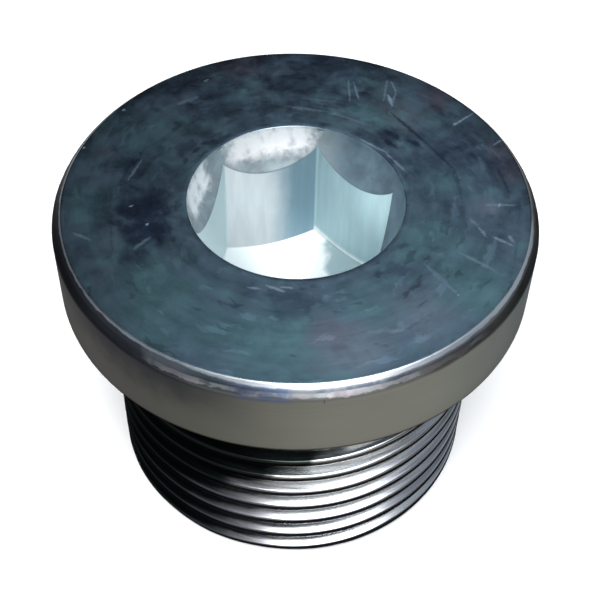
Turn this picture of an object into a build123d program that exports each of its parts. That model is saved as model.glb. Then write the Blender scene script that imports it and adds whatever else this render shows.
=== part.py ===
from build123d import *
from math import radians, tan
import os

# Hexagon socket screw plug with a collar, for an M22 x 1.5 port. Millimetres, +Z up.
# One piece of steel, turned and pressed. It stands on its threaded end, and the origin
# is the centre of that end face. Two of the hexagon's corners lie along X.

# Collar: the round head that seats on the face of the port.
collar_diameter = 27.0
collar_height = 5.0
top_edge_chamfer = 0.55
seat_edge_chamfer = 0.25

# Shank: plain over the thread's crests, since the helix itself is not cut here.
shank_length = 14.5
thread_diameter = 21.9
thread_pitch = 1.5
thread_depth = 0.613 * thread_pitch
lead_in_chamfer = thread_depth

# Relief groove, which lets the thread end clear of the seat.
relief_width = 3.0
relief_below_root = 0.1
relief_corner_radius = 0.6
relief_depth = thread_depth + relief_below_root

# Socket: a hexagon with a countersunk mouth and a conical floor.
socket_across_flats = 10.0
socket_depth = 8.1
floor_angle = 120.0
mouth_diameter = 12.4
mouth_angle = 60.0
mouth_overcut = 0.5

total_height = shank_length + collar_height
thread_radius = thread_diameter / 2
relief_radius = thread_radius - relief_depth

# The hexagon bar whose end is turned to a cone. Its shape is what the socket removes.
with BuildPart() as socket_punch:
    with BuildSketch(Plane.XY.offset(total_height)) as hexagon:
        RegularPolygon(socket_across_flats / 2, side_count=6, major_radius=False)
    corner_radius = max(corner.distance_to(hexagon.sketch.center()) for corner in hexagon.vertices())
    point_length = corner_radius / tan(radians(floor_angle / 2))
    extrude(amount=-(socket_depth + point_length))
    with BuildSketch(Plane.XZ):
        with BuildLine():
            Polyline(
                (0, total_height),
                (corner_radius, total_height),
                (corner_radius, total_height - socket_depth),
                (0, total_height - socket_depth - point_length),
                close=True,
            )
        make_face()
    revolve(axis=Axis.Z, mode=Mode.INTERSECT)

with BuildPart() as plug_body:
    # Half section of the turned blank, from the end face up to the top of the collar.
    with BuildSketch(Plane.XZ):
        with BuildLine():
            Polyline(
                (0, 0),
                (thread_radius - lead_in_chamfer, 0),
                (thread_radius, lead_in_chamfer),
                (thread_radius, shank_length - relief_width),
                (relief_radius, shank_length - relief_width + relief_depth),
                (relief_radius, shank_length),
                (collar_diameter / 2, shank_length),
                (collar_diameter / 2, total_height),
                (0, total_height),
                close=True,
            )
        make_face()
    revolve(axis=Axis.Z)

    # The three turned edges: the groove's inner corner, the seat's rim and the top rim.
    turned_edges = plug_body.edges().filter_by(GeomType.CIRCLE)
    seat_edges = turned_edges.filter_by_position(Axis.Z, shank_length, shank_length)
    top_edge = turned_edges.sort_by(Axis.Z)[-1]
    fillet(seat_edges.sort_by(SortBy.RADIUS)[0], relief_corner_radius)
    chamfer(seat_edges.sort_by(SortBy.RADIUS)[-1], seat_edge_chamfer)
    chamfer(top_edge, top_edge_chamfer)

    # The socket, then its mouth, which runs on inside the hexagon so that no sliver is left.
    add(socket_punch.part, mode=Mode.SUBTRACT)
    mouth_end_radius = socket_across_flats / 2 - mouth_overcut
    mouth_length = (mouth_diameter / 2 - mouth_end_radius) / tan(radians(mouth_angle / 2))
    with BuildSketch(Plane.XY.offset(total_height)):
        Circle(mouth_diameter / 2)
    extrude(amount=-mouth_length, taper=mouth_angle / 2, mode=Mode.SUBTRACT)

plug_body.part.label = "plug_body"

os.makedirs("parts", exist_ok=True)
export_step(plug_body.part, "parts/plug_body.step")
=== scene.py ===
from math import atan2, cos, degrees, hypot, pi, radians, sin

import bmesh
import bpy
from mathutils import Matrix, Quaternion, Vector, noise


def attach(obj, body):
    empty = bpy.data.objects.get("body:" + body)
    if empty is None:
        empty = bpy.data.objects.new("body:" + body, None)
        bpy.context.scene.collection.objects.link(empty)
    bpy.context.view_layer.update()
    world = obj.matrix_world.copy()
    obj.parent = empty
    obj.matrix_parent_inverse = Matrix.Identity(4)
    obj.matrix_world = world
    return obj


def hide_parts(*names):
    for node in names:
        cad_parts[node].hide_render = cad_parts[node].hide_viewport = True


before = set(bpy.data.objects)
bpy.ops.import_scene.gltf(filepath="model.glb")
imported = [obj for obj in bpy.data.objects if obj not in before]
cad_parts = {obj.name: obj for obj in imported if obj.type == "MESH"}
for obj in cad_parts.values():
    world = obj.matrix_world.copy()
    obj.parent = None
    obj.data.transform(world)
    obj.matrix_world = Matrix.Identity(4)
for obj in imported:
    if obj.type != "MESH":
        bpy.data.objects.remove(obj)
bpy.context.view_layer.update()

mm = 0.001
scene = bpy.context.scene
scene.view_settings.view_transform = "Standard"  # shows the metal's greys as they are


# camera
shot = {
    "azimuth": -17.85,      # degrees round the plug, 0 looks along +Y
    "topHeight": 19.5,      # of the middle of the top face, which the next three are measured from
    "height": 47.729,       # millimetres above it
    "back": 49.795,         # and in front of it
    "aim": (0.340, 0.0, -8.520),
    "roll": 1.325,
    "lens": 74.57,
}
cameraTurn = Matrix.Rotation(radians(shot["azimuth"]), 4, "Z")
topCentre = Vector((0, 0, shot["topHeight"] * mm))


def makeCamera():
    data = bpy.data.cameras.new("plugCamera")
    data.lens, data.sensor_width = shot["lens"], 36.0
    data.clip_start, data.clip_end = 0.004, 10.0
    camera = bpy.data.objects.new("plugCamera", data)
    scene.collection.objects.link(camera)
    camera.location = topCentre + cameraTurn @ Vector((0, -shot["back"], shot["height"])) * mm
    target = topCentre + cameraTurn @ Vector(shot["aim"]) * mm
    camera.rotation_mode = "QUATERNION"
    look = (target - camera.location).to_track_quat("-Z", "Y")
    camera.rotation_quaternion = look @ Quaternion((0, 0, 1), radians(shot["roll"]))
    scene.camera = camera


makeCamera()
print("camera placed")


# plug: one machined piece
plug = {
    "columns": 288,             # round the axis, a multiple of six so the socket's corners fall on columns
    "collarRadius": 13.5,
    "collarTop": 19.5,
    "seatHeight": 14.5,
    "seatRound": 0.2,
    "edgeRound": 0.06,          # every turned edge is slightly broken
    "reliefRadius": 9.93,
    "reliefTop": 12.52,         # where the groove's run-out starts
    "reliefFillet": 0.6,
    "crestRadius": 10.95,
    "threadDepth": 0.9195,
    "pitch": 1.5,
    "crestAtZero": 0.96,        # height of a crest above the +X axis
    "leadIn": 0.4,              # chamfer on the end's crests
    "socketApothem": 5.0,
    "floorApex": 8.07,
    "floorSlope": 0.5774,       # rise for each millimetre out, a 120 degree point
    "mouthRadius": 6.05,
    "mouthDrop": (2.37, 0.6),   # how fast the mouth falls away inside its rim, as factor and power
    "lipRagged": (0.05, 0.05),  # how far the edge's lower lip is worn in and up, in millimetres
    "lipBand": (18.9, 0.26),    # the height where it is worn most, and how far the wear reaches up and down
}
# one pitch of the thread as (share of the pitch, share of the depth), from the middle of a crest
threadForm = [(0.0, 0.0), (0.10, 0.0), (0.135, 0.012), (0.165, 0.055), (0.185, 0.12), (0.245, 0.35), (0.32, 0.63),
              (0.39, 0.91), (0.43, 0.98), (0.5, 1.0), (0.57, 0.98), (0.61, 0.91), (0.68, 0.63), (0.755, 0.35),
              (0.815, 0.12), (0.835, 0.055), (0.865, 0.012), (0.90, 0.0)]
# the collar's top edge as (radius, height): a chamfer that runs on into a worn lower lip
edgeForm = [(12.95, 19.5), (13.03, 19.42), (13.12, 19.33), (13.2, 19.25), (13.235, 19.2), (13.27, 19.145),
            (13.32, 19.065), (13.37, 18.985), (13.42, 18.9), (13.46, 18.82), (13.485, 18.74), (13.5, 18.66)]


def addWire(bm, points):
    # an open line of (radius, height) points in millimetres, in the XZ plane
    verts = [bm.verts.new((r * mm, 0, z * mm)) for r, z in points]
    for a, b in zip(verts, verts[1:]):
        bm.edges.new((a, b))
    return verts


def roundCorners(bm, corners, size, segments):
    bmesh.ops.bevel(bm, geom=corners, offset=size * mm, offset_type="OFFSET", segments=segments,
                    profile=0.5, affect="VERTICES", material=-1)


def spinWire(bm, verts, rise=0.0):
    # a short spin, then doubled round five times, which is much quicker than all the columns in one spin
    part = 2 * pi / 32
    edges = {e for v in verts for e in v.link_edges}
    before = set(bm.faces)
    bmesh.ops.spin(bm, geom=[*verts, *edges], cent=(0, 0, 0), axis=(0, 0, 1), dvec=(0, 0, rise / plug["columns"]),
                   angle=part, steps=plug["columns"] // 32)
    faces = [f for f in bm.faces if f not in before]
    for doubling in range(5):
        copied = bmesh.ops.duplicate(bm, geom=faces)["geom"]
        moved = [v for v in copied if isinstance(v, bmesh.types.BMVert)]
        bmesh.ops.rotate(bm, verts=moved, cent=(0, 0, 0), matrix=Matrix.Rotation(part * 2 ** doubling, 3, "Z"))
        bmesh.ops.translate(bm, verts=moved, vec=(0, 0, rise * 2 ** doubling / 32))
        faces += [f for f in copied if isinstance(f, bmesh.types.BMFace)]


def hexagonRadius(angle):
    # distance from the axis to the hexagon's wall
    fromFlat = (degrees(angle) % 60) - 30
    return plug["socketApothem"] / cos(radians(fromFlat))


def mouthHeight(r):
    factor, power = plug["mouthDrop"]
    return plug["collarTop"] - factor * max(plug["mouthRadius"] - r, 0) ** power


def shapeSocket(bm):
    # the spun section is true at the middle of a flat, and this opens the rest out to the corners
    flat, mouth = plug["socketApothem"], plug["mouthRadius"]
    floorEdge = plug["floorApex"] + flat * plug["floorSlope"]
    mouthEdge = mouthHeight(flat)
    for v in bm.verts:
        r, z, angle = hypot(v.co.x, v.co.y) / mm, v.co.z / mm, atan2(v.co.y, v.co.x)
        if r > mouth - 0.02 or r < flat - 0.9 or z < 9:
            continue
        corner = hexagonRadius(angle)
        if r < flat - 1e-4:  # the floor's last rows open out gradually
            share = (r - (flat - 0.9)) / 0.9
            newR = r + (corner - flat) * share ** 2
            newZ = z + (newR - r) * plug["floorSlope"]
        elif z < mouthEdge + 1e-4:
            share = (z - floorEdge) / (mouthEdge - floorEdge)
            low = floorEdge + (corner - flat) * plug["floorSlope"]
            newR, newZ = corner, low + (mouthHeight(corner) - low) * share
        else:
            share = min((r - flat) / (mouth - flat), 1)
            newR = r + (corner - flat) * (1 - share)
            newZ = z + mouthHeight(newR) - mouthHeight(r)
        v.co = Vector((cos(angle) * newR, sin(angle) * newR, newZ)) * mm


def wearLip(bm):
    # the lower lip of the collar's edge is knocked about, so its line wanders
    inward, upward = plug["lipRagged"]
    middle, spread = plug["lipBand"]
    for v in bm.verts:
        r, z = hypot(v.co.x, v.co.y) / mm, v.co.z / mm
        near = 1 - abs(z - middle) / spread
        if r > 13.2 and near > 0:
            place = v.co / mm
            chip = max(noise.noise(place * 0.9), 0) + 0.5 * max(noise.noise(place * 3.1 + Vector((7, 3, 1))), 0)
            lift = noise.noise(place * 1.7 + Vector((2, 5, 9)))
            scale = 1 - inward * chip * near / r
            v.co = Vector((v.co.x * scale, v.co.y * scale, v.co.z + upward * lift * near * mm))


def endRadius(angle):
    # how far out the thread's form reaches where the end face cuts it
    share = (-plug["crestAtZero"] / plug["pitch"] - angle / (2 * pi)) % 1
    form = [*threadForm, (1.0, 0.0)]
    for (a, depthA), (b, depthB) in zip(form, form[1:]):
        if a <= share <= b:
            depth = depthA + (depthB - depthA) * (share - a) / (b - a)
    return min(plug["crestRadius"] - depth * plug["threadDepth"], plug["crestRadius"] - plug["leadIn"])


def trimThread(verts):
    # the helix dies out in the groove's run-out above, and the end face and its chamfer cut it below
    top = plug["reliefTop"]
    for v in verts:
        r, z, angle = hypot(v.co.x, v.co.y) / mm, v.co.z / mm, atan2(v.co.y, v.co.x)
        if z < 0.012:
            r, z = endRadius(angle), 0
        z = min(top, z)
        r = min(r, plug["crestRadius"] - plug["leadIn"] + z, plug["reliefRadius"] + top - z)
        v.co = Vector((cos(angle) * r, sin(angle) * r, z)) * mm


def buildPlug():
    p = plug
    cr, top, seat, rr = p["collarRadius"], p["collarTop"], p["seatHeight"], p["reliefRadius"]
    flat, mouth = p["socketApothem"], p["mouthRadius"]
    floorEdge = p["floorApex"] + flat * p["floorSlope"]
    mouthEdge = mouthHeight(flat)
    bm = bmesh.new()

    # half section: socket floor, wall and countersink, top face, collar, seat, relief groove
    floorRows = [(r, p["floorApex"] + r * p["floorSlope"]) for r in (0, 0.4, 1.2, 2.1, 3.0, 3.9, 4.3, 4.6, 4.85, 4.95)]
    wallRows = [(flat, floorEdge + (mouthEdge - floorEdge) * t) for t in (0, 0.01, 0.04, 0.2, 0.4, 0.6, 0.8, 0.96, 0.99, 1)]
    coneRows = [(r, mouthHeight(r)) for r in (5.03, 5.2, 5.45, 5.65, 5.8, 5.9, 5.97, 6.01, 6.035)]
    topRows = [(r, top) for r in (mouth, 6.35, 6.8, 7.6, 8.6, 9.6, 10.6, 11.6, 12.3, 12.7, 12.86)]
    sideRows = [(cr, z) for z in (18.5, 18.0, 17.2, 16.4, 15.6, 15.0, 14.8, seat)]
    seatRows = [(r, seat) for r in (13.1, 12.8, 12.0, 11.3, 10.7, 10.6)]
    reliefRows = [(rr, seat), (rr, 13.8), (rr, 13.4), (rr, 13.0), (rr, 12.65), (rr, p["reliefTop"])]
    addWire(bm, floorRows + wallRows + coneRows + topRows + edgeForm + sideRows + seatRows + reliefRows)

    def at(r, z):
        return [v for v in bm.verts if abs(v.co.x / mm - r) < 1e-4 and abs(v.co.z / mm - z) < 1e-4]
    roundCorners(bm, at(rr, seat), p["reliefFillet"], 5)
    roundCorners(bm, at(cr, seat), p["seatRound"], 4)
    roundCorners(bm, at(mouth, top) + at(*edgeForm[0]), p["edgeRound"], 3)
    spinWire(bm, bm.verts[:])
    shapeSocket(bm)
    wearLip(bm)

    # end face
    root = p["crestRadius"] - p["threadDepth"]
    before = set(bm.verts)
    spinWire(bm, addWire(bm, [(root, 0), (root - 0.15, 0), (8.5, 0), (6.0, 0), (3.5, 0), (1.5, 0), (0.5, 0), (0, 0)]))
    for v in bm.verts:
        if v not in before and hypot(v.co.x, v.co.y) / mm > root - 0.01:
            angle = atan2(v.co.y, v.co.x)
            v.co = Vector((cos(angle), sin(angle), 0)) * endRadius(angle) * mm

    # thread: one column of crests and roots, spun up one pitch a turn so its ends meet
    column = []
    turns = int(p["reliefTop"] / p["pitch"]) + 3
    for turn in range(-2, turns):
        for share, depth in threadForm:
            z = p["crestAtZero"] + (turn + share) * p["pitch"]
            column.append((p["crestRadius"] - depth * p["threadDepth"], z))
    before = set(bm.verts)
    spinWire(bm, addWire(bm, column), p["pitch"] * mm)
    thread = [v for v in bm.verts if v not in before]
    trimThread(thread)
    bmesh.ops.remove_doubles(bm, verts=bm.verts[:], dist=0.004 * mm)
    bmesh.ops.dissolve_degenerate(bm, edges=bm.edges[:], dist=0.002 * mm)
    bmesh.ops.recalc_face_normals(bm, faces=bm.faces[:])
    for face in bm.faces:
        face.smooth = True
    loose = [e for e in bm.edges if len(e.link_faces) != 2]
    print("plug mesh:", len(bm.verts), "vertices,", len(bm.faces), "faces,", len(loose), "open edges")
    mesh = bpy.data.meshes.new("plugShell")
    bm.to_mesh(mesh)
    bm.free()
    return mesh


plugShell = bpy.data.objects.new("plugShell", buildPlug())
scene.collection.objects.link(plugShell)


# small helpers for shader nodes
def feed(tree, node, inputs):
    # links an input to a socket, or gives it a plain value
    for name, value in inputs.items():
        if isinstance(value, bpy.types.NodeSocket):
            tree.links.new(value, node.inputs[name])
        else:
            node.inputs[name].default_value = value


def addNode(tree, kind, inputs=None, **settings):
    node = tree.nodes.new("ShaderNode" + kind)
    for name, value in settings.items():
        setattr(node, name, value)
    feed(tree, node, inputs or {})
    return node


def mathNode(tree, operation, a, b=0.0):
    return addNode(tree, "Math", {0: a, 1: b}, operation=operation).outputs[0]


def ramp(tree, value, low, high, out0=0.0, out1=1.0):
    # smooth step from out0 at low to out1 at high
    limits = {"Value": value, "From Min": low, "From Max": high, "To Min": out0, "To Max": out1}
    return addNode(tree, "MapRange", limits, interpolation_type="SMOOTHSTEP").outputs["Result"]


def blendColour(tree, amount, a, b):
    return addNode(tree, "Mix", {0: amount, 6: a, 7: b}, data_type="RGBA", clamp_factor=True).outputs[2]


def blendValue(tree, amount, a, b):
    return addNode(tree, "Mix", {0: amount, 2: a, 3: b}, data_type="FLOAT").outputs[0]


def newGroup(name, ins, outs):
    # ins and outs give each socket's name and kind
    tree = bpy.data.node_groups.new(name, "ShaderNodeTree")
    for label, kind in ins:
        tree.interface.new_socket(label, in_out="INPUT", socket_type="NodeSocket" + kind)
    for label, kind in outs:
        tree.interface.new_socket(label, in_out="OUTPUT", socket_type="NodeSocket" + kind)
    return tree, tree.nodes.new("NodeGroupInput").outputs, tree.nodes.new("NodeGroupOutput").inputs


def useGroup(tree, group, inputs):
    node = tree.nodes.new("ShaderNodeGroup")
    node.node_tree = group
    feed(tree, node, inputs)
    return node.outputs[0]


def vectorMath(tree, operation, a, b=(0, 0, 0)):
    node = addNode(tree, "VectorMath", {0: a, 1: b}, operation=operation)
    return node.outputs["Value"] if operation in ("DOT_PRODUCT", "LENGTH", "DISTANCE") else node.outputs[0]


def scaled(tree, vector, factor):
    return addNode(tree, "VectorMath", {0: vector, "Scale": factor}, operation="SCALE").outputs[0]


def makeStrokeGroup():
    # a short scratch between two points, seen from above, tapered to its ends and broken by the noise given
    ins = [("Point", "Vector"), ("Noise", "Float"), ("From", "Vector"), ("To", "Vector"), ("Width", "Float")]
    tree, given, out = newGroup("scratchStroke", ins, [("Mask", "Float")])
    flat = vectorMath(tree, "MULTIPLY", given["Point"], (1, 1, 0))
    along = vectorMath(tree, "SUBTRACT", given["To"], given["From"])
    gone = vectorMath(tree, "SUBTRACT", flat, given["From"])
    share = mathNode(tree, "DIVIDE", vectorMath(tree, "DOT_PRODUCT", gone, along),
                     vectorMath(tree, "DOT_PRODUCT", along, along))
    held = addNode(tree, "Clamp", {"Value": share}).outputs[0]
    gap = vectorMath(tree, "LENGTH", vectorMath(tree, "SUBTRACT", gone, scaled(tree, along, held)))
    gap = mathNode(tree, "DIVIDE", gap, given["Width"])
    ragged = mathNode(tree, "SUBTRACT", given["Noise"], 0.5)
    gap = mathNode(tree, "ADD", gap, mathNode(tree, "MULTIPLY", ragged, 2.2))
    fromMiddle = mathNode(tree, "ABSOLUTE", mathNode(tree, "SUBTRACT", mathNode(tree, "MULTIPLY", held, 2.0), 1.0))
    ends = mathNode(tree, "POWER", fromMiddle, 3.0)
    gap = mathNode(tree, "ADD", gap, mathNode(tree, "MULTIPLY", ends, 0.6))
    tree.links.new(ramp(tree, gap, 0.1, 1.1, 1.0, 0.0), out["Mask"])
    return tree


def makeStainGroup():
    # a cloudy patch round a point, its edge broken by the noise given
    ins = [("Point", "Vector"), ("Noise", "Float"), ("Centre", "Vector"), ("Radius", "Float")]
    tree, given, out = newGroup("filmStain", ins, [("Mask", "Float")])
    gap = vectorMath(tree, "DISTANCE", vectorMath(tree, "MULTIPLY", given["Point"], (1, 1, 0)), given["Centre"])
    gap = mathNode(tree, "DIVIDE", gap, given["Radius"])
    ragged = mathNode(tree, "SUBTRACT", given["Noise"], 0.5)
    gap = mathNode(tree, "ADD", gap, mathNode(tree, "MULTIPLY", ragged, 1.8))
    tree.links.new(ramp(tree, gap, 0.15, 1.3, 1.0, 0.0), out["Mask"])
    return tree


# zinc plate: lengths here are in millimetres, colours are linear
zinc = {
    # level directions fixed on the plug, which don't follow the camera: towards where the shot is taken from, and to
    # its right. Wear, and the light and shade painted into the colours, are laid out along them
    "shotWay": (-0.3065, -0.952, 0),
    "shotRight": (0.952, -0.3065, 0),
    # films on the top face
    "deep": (0.066, 0.09, 0.165, 1),
    "ground": (0.19, 0.28, 0.37, 1),
    "teal": (0.20, 0.385, 0.43, 1),
    "lilac": (0.38, 0.45, 0.56, 1),
    "warm": (0.27, 0.20, 0.27, 1),
    "scratch": (0.62, 0.80, 1.0, 1),
    "scrape": (0.055, 0.075, 0.12, 1),
    # collar side, down to a painted shadow line over its seat
    "side": (0.41, 0.42, 0.40, 1),
    "sideLeftShade": (0.10, 0.115, 0.15, 1),
    "seatShadow": (0.05, 0.06, 0.035, 1),
    # the collar's edge: worn chamfer, duller streak with painted shade at its left, bright lip, and painted shade at
    # its ends
    "worn": (0.82, 0.88, 0.93, 1),
    "nick": (1, 1, 1, 1),
    "streak": (0.26, 0.30, 0.37, 1),
    "streakLeftShade": (0.13, 0.19, 0.22, 1),
    "blued": (0.22, 0.32, 0.55, 1),
    "lip": (0.92, 0.87, 0.94, 1),
    "edgeEndShade": (0.055, 0.055, 0.07, 1),
    # thread, and the painted shade in its roots, under the collar and at its left
    "thread": (0.64, 0.66, 0.69, 1),
    "threadShade": (0.033, 0.046, 0.044, 1),
    # the socket's mouth
    "cone": (0.27, 0.33, 0.36, 1),
    "coneShade": (0.13, 0.19, 0.235, 1),
    "socketHighlight": (0.97, 0.98, 1.0, 1),
    # its walls and floor, with painted light: the back and right walls are the lit ones
    "wallBack": (0.93, 0.97, 1.0, 1),
    "wallShade": (0.26, 0.40, 0.48, 1),
    "wallRight": (0.40, 0.56, 0.60, 1),
    "wallGlow": (0.64, 0.86, 0.89, 1),
    "wallLeft": (0.60, 0.74, 0.76, 1),
    "socketFloor": (0.70, 0.76, 0.77, 1),
    "floorShade": (0.28, 0.39, 0.42, 1),
    "rightWall": (0.5, -0.866, 0),          # level, along the right wall
    "socketMetal": 0.45,                    # less than a full metal, so the socket shows its painted colours
    # roughness, from and to where it varies
    "roughTop": (0.26, 0.36),
    "roughSide": (0.28, 0.34),
    "roughThread": (0.15, 0.24),
    "roughSocket": 0.36,
    "roughScratch": 0.42,
    # fine relief
    "reliefGrain": 0.0005,
    "reliefSmear": 0.008,
    "reliefRings": 0.003,
    # patches of film on the top face: middle, radius, strength
    "deepStains": [((-8.2, 1.2), 1.9, 1.1), ((-8.8, -0.2), 1.5, 1.1), ((-9.6, -1.4), 1.0, 0.7), ((-7.0, 4.0), 2.6, 0.3),
                   ((-7.4, 5.0), 1.6, 0.35), ((9.6, 1.2), 2.6, 0.55), ((4.5, 10.4), 4.0, 0.7), ((-1.6, 9.3), 3.0, 0.55),
                   ((-2.6, -7.4), 1.5, 0.5), ((4.0, -7.0), 1.6, 0.45), ((11.4, -1.6), 1.6, 0.45), ((-4.2, 11.0), 2.2, 0.55),
                   ((6.7, 3.4), 0.9, 0.8), ((7.9, 2.4), 0.9, 0.7), ((-3.4, 6.0), 0.9, 0.6)],
    "tealStains": [((-8.6, -5.6), 3.2, 0.9), ((-4.6, -9.4), 3.0, 0.9), ((7.1, -9.2), 2.2, 1.0), ((6.2, -5.6), 2.4, 0.75),
                   ((8.4, -1.2), 1.6, 0.6), ((-6.8, 7.2), 2.6, 0.5), ((1.4, -8.6), 2.0, 0.5), ((-11.2, 3.0), 2.0, 0.6)],
    "lilacStains": [((-0.6, -11.2), 2.4, 0.8), ((3.6, -9.9), 2.2, 0.5), ((9.9, -3.7), 1.0, 0.7), ((8.2, 4.4), 1.5, 0.45),
                    ((-3.8, 9.8), 0.8, 0.5), ((-9.4, 6.6), 0.7, 0.5), ((4.6, 5.4), 1.1, 0.35), ((7.9, 5.8), 1.1, 0.45),
                    ((-10.4, -0.4), 0.8, 0.4)],
    "warmStains": [((10.9, 5.9), 1.2, 0.8), ((12.4, 0.3), 1.0, 0.6), ((12.3, -1.6), 1.0, 0.6), ((0.2, 12.2), 1.6, 0.6),
                   ((-1.2, -9.8), 1.4, 0.35)],
    # scratches on the top face: from, to, width, strength
    "lightStrokes": [((6.11, 9.04), (5.52, 7.0), 0.1, 0.5), ((6.33, 8.71), (6.06, 6.92), 0.1, 0.55),
                     ((8.37, 8.32), (7.44, 6.45), 0.09, 0.4), ((8.56, 8.16), (8.49, 7.09), 0.1, 0.5),
                     ((8.49, 7.09), (7.68, 5.77), 0.1, 0.5), ((7.92, 6.96), (7.83, 5.82), 0.15, 1.0),
                     ((10.68, 3.29), (12.22, 3.95), 0.1, 0.8), ((10.68, 3.29), (11.0, 3.42), 0.13, 0.9),
                     ((12.12, 0.94), (12.89, 1.27), 0.1, 0.55), ((9.78, -3.46), (11.48, -3.96), 0.12, 0.4),
                     ((10.55, -3.68), (10.62, -3.72), 0.2, 1.3), ((8.8, -4.95), (8.97, -5.8), 0.14, 0.6),
                     ((9.28, -5.89), (10.05, -6.81), 0.14, 0.7), ((10.12, -5.98), (10.24, -6.64), 0.16, 0.6),
                     ((8.62, -4.26), (8.87, -5.06), 0.14, 0.35), ((7.12, -6.49), (8.47, -8.33), 0.16, 0.35),
                     ((6.0, 2.2), (6.55, 0.35), 0.13, 0.6), ((5.0, 3.65), (6.1, 2.1), 0.1, 0.7),
                     ((-7.41, 5.57), (-8.6, 4.02), 0.12, 0.35), ((-9.48, -1.37), (-8.41, -0.69), 0.16, 0.35),
                     ((-8.89, 1.96), (-8.88, 1.90), 0.16, 1.0), ((-8.4, 0.34), (-8.33, 0.22), 0.16, 1.0),
                     ((-10.5, 7.33), (-10.39, 7.42), 0.13, 1.0), ((-7.7, 9.95), (-7.49, 10.08), 0.12, 0.9),
                     ((-2.44, 11.25), (-2.02, 11.43), 0.1, 0.6), ((-4.46, 9.58), (-3.14, 9.97), 0.2, 0.3),
                     ((-12.3, 0.77), (-11.52, 0.0), 0.14, 0.3), ((-4.4, -5.63), (-3.7, -5.99), 0.1, 0.6),
                     ((-3.47, -5.76), (-2.62, -6.52), 0.13, 0.7), ((-2.76, -6.12), (-2.14, -6.37), 0.11, 0.7),
                     ((5.01, -6.63), (5.89, -9.25), 0.2, 0.25), ((5.86, -9.2), (5.93, -9.3), 0.14, 0.7),
                     ((0.55, -10.27), (2.58, -10.73), 0.2, 0.25), ((1.68, 7.71), (4.08, 6.44), 0.18, 0.3),
                     ((4.08, 6.44), (6.05, 4.54), 0.16, 0.3), ((2.75, 8.17), (5.2, 6.97), 0.12, 0.2)],
    "darkStrokes": [((7.51, 5.47), (8.66, 1.89), 0.16, 0.8), ((8.66, 1.89), (9.31, -0.36), 0.15, 0.7),
                    ((9.31, -0.36), (8.76, -2.75), 0.18, 0.4), ((6.55, 4.03), (7.2, 2.92), 0.3, 1.0),
                    ((7.59, 2.81), (8.2, 2.1), 0.26, 0.9), ((6.39, 3.25), (6.74, 2.33), 0.26, 1.0),
                    ((-7.93, 5.81), (-9.08, 3.9), 0.14, 0.6), ((-7.12, 5.05), (-8.28, 3.67), 0.14, 0.6),
                    ((-9.22, -0.68), (-8.5, -0.35), 0.18, 1.0), ((-3.9, 5.8), (-2.9, 5.84), 0.26, 0.9),
                    ((-4.6, 5.2), (-4.1, 5.5), 0.22, 0.8), ((-5.3, 4.4), (-5.0, 4.9), 0.2, 0.6),
                    ((-10.61, -1.35), (-10.25, 0.64), 0.12, 0.3)],
    # bright nicks and dark cuts along the collar's edge: from, to, width, strength
    "edgeNicks": [((-7.3, -10.58), (-7.2, -10.65), 0.14, 1.0), ((-6.92, -10.86), (-6.6, -10.9), 0.17, 1.0),
                  ((-2.5, -13.13), (-2.22, -13.2), 0.07, 0.9), ((-10.5, 7.33), (-10.39, 7.42), 0.13, 1.0),
                  ((-11.6, 5.9), (-11.2, 6.6), 0.08, 0.5)],
    "edgeCuts": [((-2.63, -13.2), (-2.66, -13.36), 0.05, 1.0), ((-8.2, -10.5), (-7.7, -10.9), 0.06, 0.6)],
    # a blued stretch of its lip: middle and radius
    "blueLip": [((-6.1, -11.7), 0.8), ((-5.2, -12.1), 0.7), ((-4.5, -12.4), 0.6)],
    # painted highlights inside the socket's mouth: middle and radius
    "mouthGlints": [((-1.7, 5.7), 1.1), ((-0.9, 5.85), 1.2), ((0.0, 5.95), 1.3), ((1.0, 5.9), 1.2), ((1.9, 5.6), 1.0),
                    ((-4.9, 2.9), 1.0), ((-4.4, 3.7), 0.8), ((-5.3, 2.1), 0.9)],
}


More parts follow.
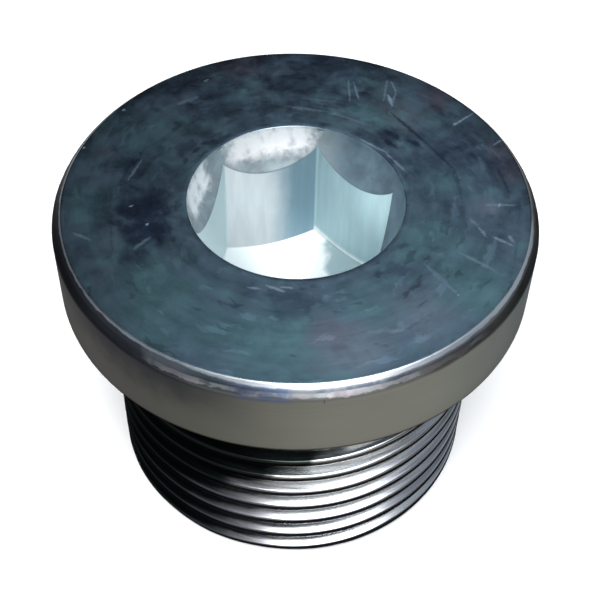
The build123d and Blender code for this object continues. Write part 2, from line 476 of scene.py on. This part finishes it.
def makeZincPlate():
    material = bpy.data.materials.new("zincPlate")
    material.use_nodes = True
    tree = material.node_tree
    shader = tree.nodes["Principled BSDF"]
    point = scaled(tree, addNode(tree, "TexCoord").outputs["Object"], 1000.0)  # millimetres
    x, y, z = addNode(tree, "SeparateXYZ", {0: point}).outputs
    flat = vectorMath(tree, "MULTIPLY", point, (1, 1, 0))
    radius = vectorMath(tree, "LENGTH", flat)
    rim = vectorMath(tree, "NORMALIZE", flat)       # runs round the axis without a seam
    front = vectorMath(tree, "DOT_PRODUCT", point, zinc["shotWay"])
    sideways = vectorMath(tree, "DOT_PRODUCT", point, zinc["shotRight"])

    def noiseOf(vector, scale, detail=4.0, roughness=0.6, distortion=0.0):
        settings = {"Vector": vector, "Scale": scale, "Detail": detail, "Roughness": roughness, "Distortion": distortion}
        return addNode(tree, "TexNoise", settings).outputs["Fac"]

    def turned(around, across, coordinate, detail=3.0):
        # streaks that follow the lathe: long round the axis, fine across it
        level = addNode(tree, "CombineXYZ", {2: mathNode(tree, "MULTIPLY", coordinate, across)}).outputs[0]
        return noiseOf(vectorMath(tree, "ADD", scaled(tree, rim, around), level), 1.0, detail, 0.55)

    def fade(value, low, high, out0=0.0, out1=1.0):
        return ramp(tree, value, low, high, out0, out1)

    def over(amount, under, upper):
        return blendColour(tree, amount, under, upper)

    def plus(a, b):
        return mathNode(tree, "ADD", a, b)

    def minus(a, b):
        return mathNode(tree, "SUBTRACT", a, b)

    def both(a, b):
        return mathNode(tree, "MULTIPLY", a, b)

    def either(a, b):
        return mathNode(tree, "MAXIMUM", a, b)

    def offset(value, amount):
        # a noise, centred on nothing and scaled
        return both(minus(value, 0.5), amount)

    # where each turned surface lies
    high = both(fade(z, 19.40, 19.47), fade(radius, 12.9, 12.97, 1.0, 0.0))
    onEdge = both(fade(radius, 12.90, 12.96), fade(z, 18.52, 18.60))
    onSide = both(fade(radius, 13.0, 13.1), fade(z, 14.35, 14.5))
    onShank = fade(z, 14.3, 14.45, 1.0, 0.0)
    inside = both(fade(radius, 6.03, 6.09, 1.0, 0.0), fade(z, 6.0, 7.0))

    # shared noises
    cloud = noiseOf(point, 0.32, 3.0, 0.5, 0.25)
    smear = noiseOf(point, 0.85, 3.5, 0.55, 0.3)
    grain = noiseOf(point, 5.0, 2.0, 0.5)
    rings = turned(2.2, 1.7, radius)
    lathe = turned(1.4, 5.0, z)
    dabs = turned(4.5, 1.3, plus(radius, offset(smear, 1.2)))

    # top face: films of blue, teal and grey, laid on in soft patches
    tint = plus(cloud, plus(offset(smear, 0.5), offset(rings, 0.3)))
    colour = over(fade(tint, 0.25, 0.5, 0.5, 0.0), zinc["ground"], zinc["deep"])
    colour = over(fade(tint, 0.5, 0.75, 0.0, 0.7), colour, zinc["teal"])
    stain = makeStainGroup()
    for name in ("teal", "lilac", "warm", "deep"):
        for (px, py), size, strength in zinc[name + "Stains"]:
            mask = useGroup(tree, stain, {"Point": point, "Noise": smear, "Centre": (px, py, 0), "Radius": size})
            colour = over(both(mask, strength * 0.8), colour, zinc[name])
    shade = plus(fade(smear, 0.3, 0.7, 0.84, 1.16), offset(rings, 0.5))
    shade = plus(shade, offset(grain, 0.1))
    shade = minus(shade, fade(dabs, 0.60, 0.68, 0.0, 0.3))
    shade = plus(shade, fade(dabs, 0.32, 0.40, 0.35, 0.0))
    shade = both(shade, fade(radius, 12.2, 12.95, 1.0, 0.85))
    # painted light and shade: dimmer at the left and along the back rim, brighter towards the shot
    shade = both(shade, both(fade(sideways, -11.0, 3.0, 0.70, 1.0), fade(front, 3.0, 12.0, 1.0, 1.12)))
    backRim = both(fade(radius, 11.4, 12.95), fade(front, 1.0, -6.0))
    shade = both(shade, fade(backRim, 0.0, 1.0, 1.0, 0.72))
    colour = scaled(tree, colour, shade)

    def stainsOf(name, edge):
        total = None
        for (px, py), size in zinc[name]:
            mask = useGroup(tree, stain, {"Point": point, "Noise": edge, "Centre": (px, py, 0), "Radius": size})
            total = mask if total is None else either(total, mask)
        return total

    stroke = makeStrokeGroup()
    broken = noiseOf(point, 3.2, 3.0, 0.6)

    def strokesOf(name):
        total = None
        for begin, end, width, strength in zinc[name]:
            given = {"Point": point, "Noise": broken, "From": (*begin, 0), "To": (*end, 0), "Width": width}
            mask = both(useGroup(tree, stroke, given), strength * 0.95)
            total = mask if total is None else either(total, mask)
        return total

    light, dark = both(strokesOf("lightStrokes"), high), both(strokesOf("darkStrokes"), high)
    colour = over(dark, colour, zinc["scrape"])
    colour = over(light, colour, zinc["scratch"])

    # collar side: smooth, darker towards the edge, with painted shade at the left
    sideShade = both(fade(lathe, 0.3, 0.7, 0.98, 1.02), fade(z, 14.8, 18.9, 1.06, 0.9))
    sideColour = scaled(tree, zinc["side"][:3], sideShade)
    # painted shade: the collar side darker at the left, most towards the edge
    leftShade = both(fade(plus(z, offset(smear, 2.0)), 15.6, 18.9), fade(sideways, -1.0, -7.0))
    sideColour = over(both(leftShade, 0.85), sideColour, zinc["sideLeftShade"])
    # painted shadow: a dark line at the foot of the collar side, over its seat
    sideColour = over(fade(z, 14.55, 14.85, 0.95, 0.0), sideColour, zinc["seatShadow"])

    # the edge: bright chamfer, a duller streak, then a ragged bright lip at the front
    wander = offset(noiseOf(point, 1.1, 3.0), 0.16)
    drop = minus(plus(plug["collarTop"], wander), z)
    patchy = fade(noiseOf(rim, 8.0, 3.0), 0.40, 0.54, 0.5, 1.0)
    reach = plus(front, offset(smear, 3.0))
    lipHere = both(fade(reach, 7.6, 10.4), patchy)
    lipHere = both(lipHere, fade(plus(sideways, offset(smear, 2.0)), -7.0, -3.0, 0.55, 1.0))
    lipHere = both(lipHere, fade(plus(sideways, offset(smear, 1.0)), -7.7, -6.9))
    lipColour = over(fade(smear, 0.42, 0.6), zinc["lip"], zinc["worn"])
    torn = plus(drop, plus(offset(smear, 0.5), offset(broken, 0.12)))
    lipLow = over(both(lipHere, fade(torn, 0.58, 0.63, 1.0, 0.0)), sideColour, lipColour)
    # painted shade: the streak darker at the left
    streak = over(fade(sideways, -5.0, -2.0), zinc["streakLeftShade"], zinc["streak"])
    lipLow = over(both(lipHere, fade(drop, 0.35, 0.41, 1.0, 0.0)), lipLow, streak)
    bandEnd = fade(sideways, -6.5, -1.0, 0.08, 0.195)
    bandEnd = mathNode(tree, "MINIMUM", bandEnd, fade(sideways, 4.0, 10.5, 0.195, 0.15))
    past = fade(minus(drop, bandEnd), -0.02, 0.05)
    lipLow = over(both(stainsOf("blueLip", broken), 0.7), lipLow, zinc["blued"])
    frontLipAndStreak = over(fade(front, 8.0, 10.5), sideColour, lipLow)
    edgeColour = over(past, zinc["worn"], frontLipAndStreak)
    # painted shade: the edge darker at its far left and right ends, and dimmer still towards the far right
    ends = both(onEdge, either(fade(sideways, -10.0, -13.0), fade(sideways, 9.2, 12.4)))
    endsShade = both(both(ends, past), fade(sideways, 4.0, 10.0, 0.85, 0.6))
    edgeColour = over(endsShade, edgeColour, zinc["edgeEndShade"])
    farRight = both(fade(sideways, 9.0, 12.0), fade(front, 0.5, 2.5, 1.0, 0.0))
    edgeColour = scaled(tree, edgeColour, fade(farRight, 0.0, 1.0, 1.0, 0.4))
    edgeColour = over(strokesOf("edgeCuts"), edgeColour, zinc["scrape"])
    edgeColour = over(strokesOf("edgeNicks"), edgeColour, zinc["nick"])
    colour = over(onSide, colour, sideColour)
    colour = over(onEdge, colour, edgeColour)

    # thread
    helix = turned(1.6, 7.0, z)
    threadColour = scaled(tree, zinc["thread"][:3], fade(helix, 0.3, 0.7, 0.82, 1.12))
    # painted light: a bright band up the middle, dimmer at its sides and behind
    fromBright = mathNode(tree, "ABSOLUTE", minus(sideways, 1.8))
    threadLightBand = both(fade(fromBright, 1.5, 5.0, 1.32, 1.0), fade(front, 0.0, 4.0, 0.75, 1.0))
    threadColour = scaled(tree, threadColour, threadLightBand)
    facing = fade(front, -5.0, 0.0)     # 1 at the front, 0 at the back
    # painted shade in the thread's roots, reaching further out at the left in front
    rootShadeTo = fade(plus(sideways, offset(smear, 3.0)), -8.0, 2.0, 10.95, 10.32)
    rootShadeTo = blendValue(tree, facing, 10.32, rootShadeTo)
    rootShade = fade(minus(radius, rootShadeTo), -0.14, 0.0, 0.9, 0.0)
    threadColour = over(rootShade, threadColour, zinc["threadShade"])
    # painted shadow of the collar over the thread's upper turns, reaching lower at the left in front
    held = minus(z, blendValue(tree, facing, 2.6, both(sideways, 0.58)))
    held = plus(held, offset(smear, 1.5))
    threadColour = over(fade(held, 8.4, 9.2, 0.0, 0.97), threadColour, zinc["threadShade"])
    # painted shade: the front of the thread darker at the left
    leftDark = fade(plus(sideways, offset(smear, 2.0)), -7.2, -0.8, 0.9, 0.0)
    threadColour = over(both(leftDark, facing), threadColour, zinc["threadShade"])
    colour = over(onShank, colour, threadColour)

    # socket's mouth: grey, painted darker at the right, with painted highlights
    coneRight = fade(plus(sideways, offset(smear, 2.0)), 1.2, 3.4)
    cone = over(coneRight, zinc["cone"], zinc["coneShade"])
    cone = scaled(tree, cone, fade(smear, 0.3, 0.7, 0.8, 1.25))
    smudge = noiseOf(point, 1.6, 3.0, 0.6)
    glint = both(stainsOf("mouthGlints", smudge), fade(plus(z, offset(smudge, 1.5)), 17.6, 18.3))
    cone = over(glint, cone, zinc["socketHighlight"])
    colour = over(inside, colour, cone)

    # socket walls and floor, each painted as it is lit
    depth = mathNode(tree, "MAXIMUM", minus(plug["mouthRadius"], radius), 0.0)
    depth = both(mathNode(tree, "POWER", depth, plug["mouthDrop"][1]), plug["mouthDrop"][0])
    belowMouth = fade(plus(z, depth), 19.40, 19.46, 1.0, 0.0)

    def wallAt(angle):
        reachOut = vectorMath(tree, "DOT_PRODUCT", point, (cos(radians(angle)), sin(radians(angle)), 0))
        return both(fade(reachOut, 4.88, 4.97), belowMouth)

    drawn = noiseOf(vectorMath(tree, "MULTIPLY", point, (1.6, 1.6, 0.2)), 1.0, 3.0)
    shaded = fade(plus(x, offset(smear, 0.6)), -0.4, 1.7)
    back = scaled(tree, zinc["wallBack"][:3], fade(z, 11.0, 16.0, 0.72, 1.0))
    back = over(shaded, back, zinc["wallShade"])
    across = vectorMath(tree, "DOT_PRODUCT", point, zinc["rightWall"])
    glow = both(fade(across, -0.5, 2.6), fade(z, 13.0, 17.0))
    right = over(glow, zinc["wallRight"], zinc["wallGlow"])
    foot = minus(z, plus(both(radius, plug["floorSlope"]), plug["floorApex"]))   # height over the floor's cone
    # painted highlight: a bright line along the foot of the right wall
    right = over(fade(foot, 0.08, 0.5, 0.9, 0.0), right, zinc["socketHighlight"])
    # painted shadow: the socket's floor darker at the right
    floorShadeMask = fade(plus(sideways, offset(smear, 1.6)), 1.7, 2.3)
    base = over(floorShadeMask, zinc["socketFloor"], zinc["floorShade"])
    below = both(fade(foot, 0.03, 0.06, 1.0, 0.0), fade(radius, 5.95, 5.99, 1.0, 0.0))
    below = both(below, fade(z, 6.0, 7.0))
    drawnShade = fade(drawn, 0.3, 0.7, 0.93, 1.05)
    paints = {90: scaled(tree, back, drawnShade), 30: scaled(tree, right, drawnShade)}
    walls = None
    for angle in (90, 30, 150, -30, -90, -150):
        here = both(wallAt(angle), inside)
        colour = over(here, colour, paints.get(angle, zinc["wallLeft"]))
        walls = here if walls is None else either(walls, here)
    colour = over(below, colour, base)
    # the walls and floor are less metal, so their painted light and shade show
    wallsAndFloor = either(walls, below)
    tree.links.new(colour, shader.inputs["Base Color"])
    tree.links.new(fade(either(wallsAndFloor, both(inside, 0.85)), 0.0, 1.0, 1.0, zinc["socketMetal"]), shader.inputs["Metallic"])

    # roughness
    rough = plus(fade(smear, 0.3, 0.7, *zinc["roughTop"]), offset(grain, 0.05))
    rough = blendValue(tree, onSide, rough, fade(cloud, 0.3, 0.7, *zinc["roughSide"]))
    rough = blendValue(tree, onShank, rough, fade(helix, 0.3, 0.7, *zinc["roughThread"]))
    rough = blendValue(tree, inside, rough, zinc["roughSocket"])
    rough = blendValue(tree, light, rough, zinc["roughScratch"])
    tree.links.new(rough, shader.inputs["Roughness"])

    # fine relief, in millimetres
    height = plus(offset(grain, zinc["reliefGrain"]), offset(smear, zinc["reliefSmear"]))
    height = plus(height, both(offset(turned(3.0, 5.0, radius, 1.0), zinc["reliefRings"]), high))
    height = blendValue(tree, either(onSide, either(inside, onShank)), height, both(height, 0.08))
    bump = addNode(tree, "Bump", {"Height": height, "Distance": mm, "Strength": 1.0})
    tree.links.new(bump.outputs[0], shader.inputs["Normal"])
    print("zinc plate made,", len(tree.nodes), "nodes")
    return material


plugShell.data.materials.append(makeZincPlate())
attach(plugShell, "root")
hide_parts("plug_body")
print("plug finished")


# floor
studio = {
    "floorSize": 2.4,                       # metres, everything else here is in millimetres and degrees
    "floorColour": (0.93, 0.93, 0.93, 1),
    "background": (1.0, 1.0, 1.0),
    "floorFade": (90, 320),                 # where the floor starts to fade into the backdrop, and has gone
    # soft patches of light: azimuth from the camera (right is positive), elevation, full and faded half angles,
    # colour, strength
    "patches": [
        (22, 59, 14, 25, (0.97, 0.99, 1.0), 5.0),
        (12, 56, 12, 40, (0.95, 0.94, 1.0), 0.5),
        (16, 20, 12, 30, (0.97, 0.99, 1.0), 0.95),
        (72, 44, 6, 32, (0.80, 0.87, 1.0), 0.32),
        (108, 9, 14, 36, (0.80, 0.88, 1.0), 0.36),
        (162, 68, 8, 36, (0.85, 0.95, 1.0), 0.6),
        (-60, 24, 8, 40, (0.82, 0.90, 1.0), 0.22),
        (-112, 8, 12, 34, (0.85, 0.90, 1.0), 0.13),
        (188, 0, 12, 28, (0.92, 0.96, 1.0), 0.5),
    ],
    "ambient": (0.014, 0.015, 0.018),
    # the table that only the metal mirrors, the camera sees the pale floor instead: centre right of and behind the
    # plug, full and faded radius, colour
    "tableGlow": [
        ((16, -26), 6, 48, (0.52, 0.51, 0.45)),
        ((-26, -4), 0, 32, (0.20, 0.19, 0.185)),
        ((32, -4), 4, 26, (0.0, 0.02, 0.045)),
        ((23, 6), 2, 17, (0.05, 0.06, 0.07)),
        ((0, 36), 16, 40, (0.34, 0.34, 0.33)),
    ],
    "tableDark": (0.010, 0.010, 0.012, 1),
    "tableFar": (34, 70, 0.38),             # the table grows pale again this far out
    "underPlug": (17, 26),                  # painted shadow: the mirrored table is dark this near to the plug, and lit from there on
    "fill": ((-60, -120, 330), 0.30, 1.5),  # where the floor's own light hangs, its size in metres and its power
}


def makeFloor():
    bm = bmesh.new()
    bmesh.ops.create_grid(bm, x_segments=8, y_segments=8, size=studio["floorSize"] / 2)
    mesh = bpy.data.meshes.new("paleFloor")
    bm.to_mesh(mesh)
    bm.free()
    floor = bpy.data.objects.new("paleFloor", mesh)
    scene.collection.objects.link(floor)
    material = bpy.data.materials.new("paleFloor")
    material.use_nodes = True
    tree = material.node_tree
    shader = tree.nodes["Principled BSDF"]
    shader.inputs["Base Color"].default_value = studio["floorColour"]
    shader.inputs["Roughness"].default_value = 0.8
    # mirrored rays meet a darker table than the floor the camera sees, warm in front of the plug
    point = scaled(tree, addNode(tree, "TexCoord").outputs["Object"], 1000.0)  # millimetres
    total = addNode(tree, "RGB").outputs[0]
    total.default_value = studio["tableDark"]
    for (right, away), full, faded, tint in studio["tableGlow"]:
        centre = cameraTurn @ Vector((right, away, 0))
        glow = ramp(tree, vectorMath(tree, "DISTANCE", point, centre), full, faded, 1.0, 0.0)
        total = vectorMath(tree, "ADD", total, scaled(tree, tint, glow))
    away = vectorMath(tree, "LENGTH", point)
    near, far, pale = studio["tableFar"]
    beside = vectorMath(tree, "DOT_PRODUCT", point, cameraTurn @ Vector((1, 0, 0)))
    beside = mathNode(tree, "DIVIDE", mathNode(tree, "ABSOLUTE", beside), away)
    ring = mathNode(tree, "MULTIPLY", ramp(tree, away, near, far, 0.0, pale), ramp(tree, beside, 0.62, 0.95, 1.0, 0.12))
    total = vectorMath(tree, "MAXIMUM", total, ring)
    behind = vectorMath(tree, "DOT_PRODUCT", point, cameraTurn @ Vector((0, 1, 0)))
    lit = mathNode(tree, "MAXIMUM", ramp(tree, away, *studio["underPlug"]), ramp(tree, behind, 5.0, 13.0))
    mirrored = addNode(tree, "Emission", {"Color": blendColour(tree, lit, studio["tableDark"], total)})
    # far out the floor fades into the backdrop
    backdrop = addNode(tree, "Emission", {"Color": (*studio["background"], 1)})
    fadeOut = ramp(tree, away, *studio["floorFade"])
    faded = addNode(tree, "MixShader", {0: fadeOut, 1: shader.outputs[0], 2: backdrop.outputs[0]})
    path = addNode(tree, "LightPath")
    mix = addNode(tree, "MixShader", {0: path.outputs["Is Glossy Ray"], 1: faded.outputs[0], 2: mirrored.outputs[0]})
    tree.links.new(mix.outputs[0], tree.nodes["Material Output"].inputs["Surface"])
    material.cycles.emission_sampling = "NONE"
    mesh.materials.append(material)


def makeFill():
    # lights the floor and the socket softly, and isn't mirrored in the metal
    place, size, power = studio["fill"]
    data = bpy.data.lights.new("floorFill", "AREA")
    data.shape, data.size, data.energy = "DISK", size, power
    lamp = bpy.data.objects.new("floorFill", data)
    scene.collection.objects.link(lamp)
    lamp.location = cameraTurn @ Vector(place) * mm
    lamp.rotation_euler = (topCentre - lamp.location).to_track_quat("-Z", "Y").to_euler()
    lamp.visible_glossy = False
    lamp.visible_camera = False


def direction(azimuth, elevation):
    a, e = radians(azimuth + shot["azimuth"]), radians(elevation)
    return Vector((sin(a) * cos(e), -cos(a) * cos(e), sin(e)))


def makeStudio():
    world = bpy.data.worlds.new("studio")
    scene.world = world
    world.use_nodes = True
    tree = world.node_tree
    tree.nodes.clear()
    ray = addNode(tree, "TexCoord").outputs["Generated"]
    total = addNode(tree, "RGB").outputs[0]
    total.default_value = (*studio["ambient"], 1)
    for azimuth, elevation, full, faded, colour, strength in studio["patches"]:
        facing = vectorMath(tree, "DOT_PRODUCT", ray, direction(azimuth, elevation))
        glow = ramp(tree, facing, cos(radians(faded)), cos(radians(full)), 0.0, strength)
        total = vectorMath(tree, "ADD", total, scaled(tree, colour, glow))
    light = addNode(tree, "Background", {"Color": total})
    back = addNode(tree, "Background", {"Color": (*studio["background"], 1)})
    path = addNode(tree, "LightPath")
    mix = addNode(tree, "MixShader", {0: path.outputs["Is Camera Ray"], 1: light.outputs[0], 2: back.outputs[0]})
    addNode(tree, "OutputWorld", {"Surface": mix.outputs[0]})


makeFloor()
makeFill()
makeStudio()
print("studio lit")
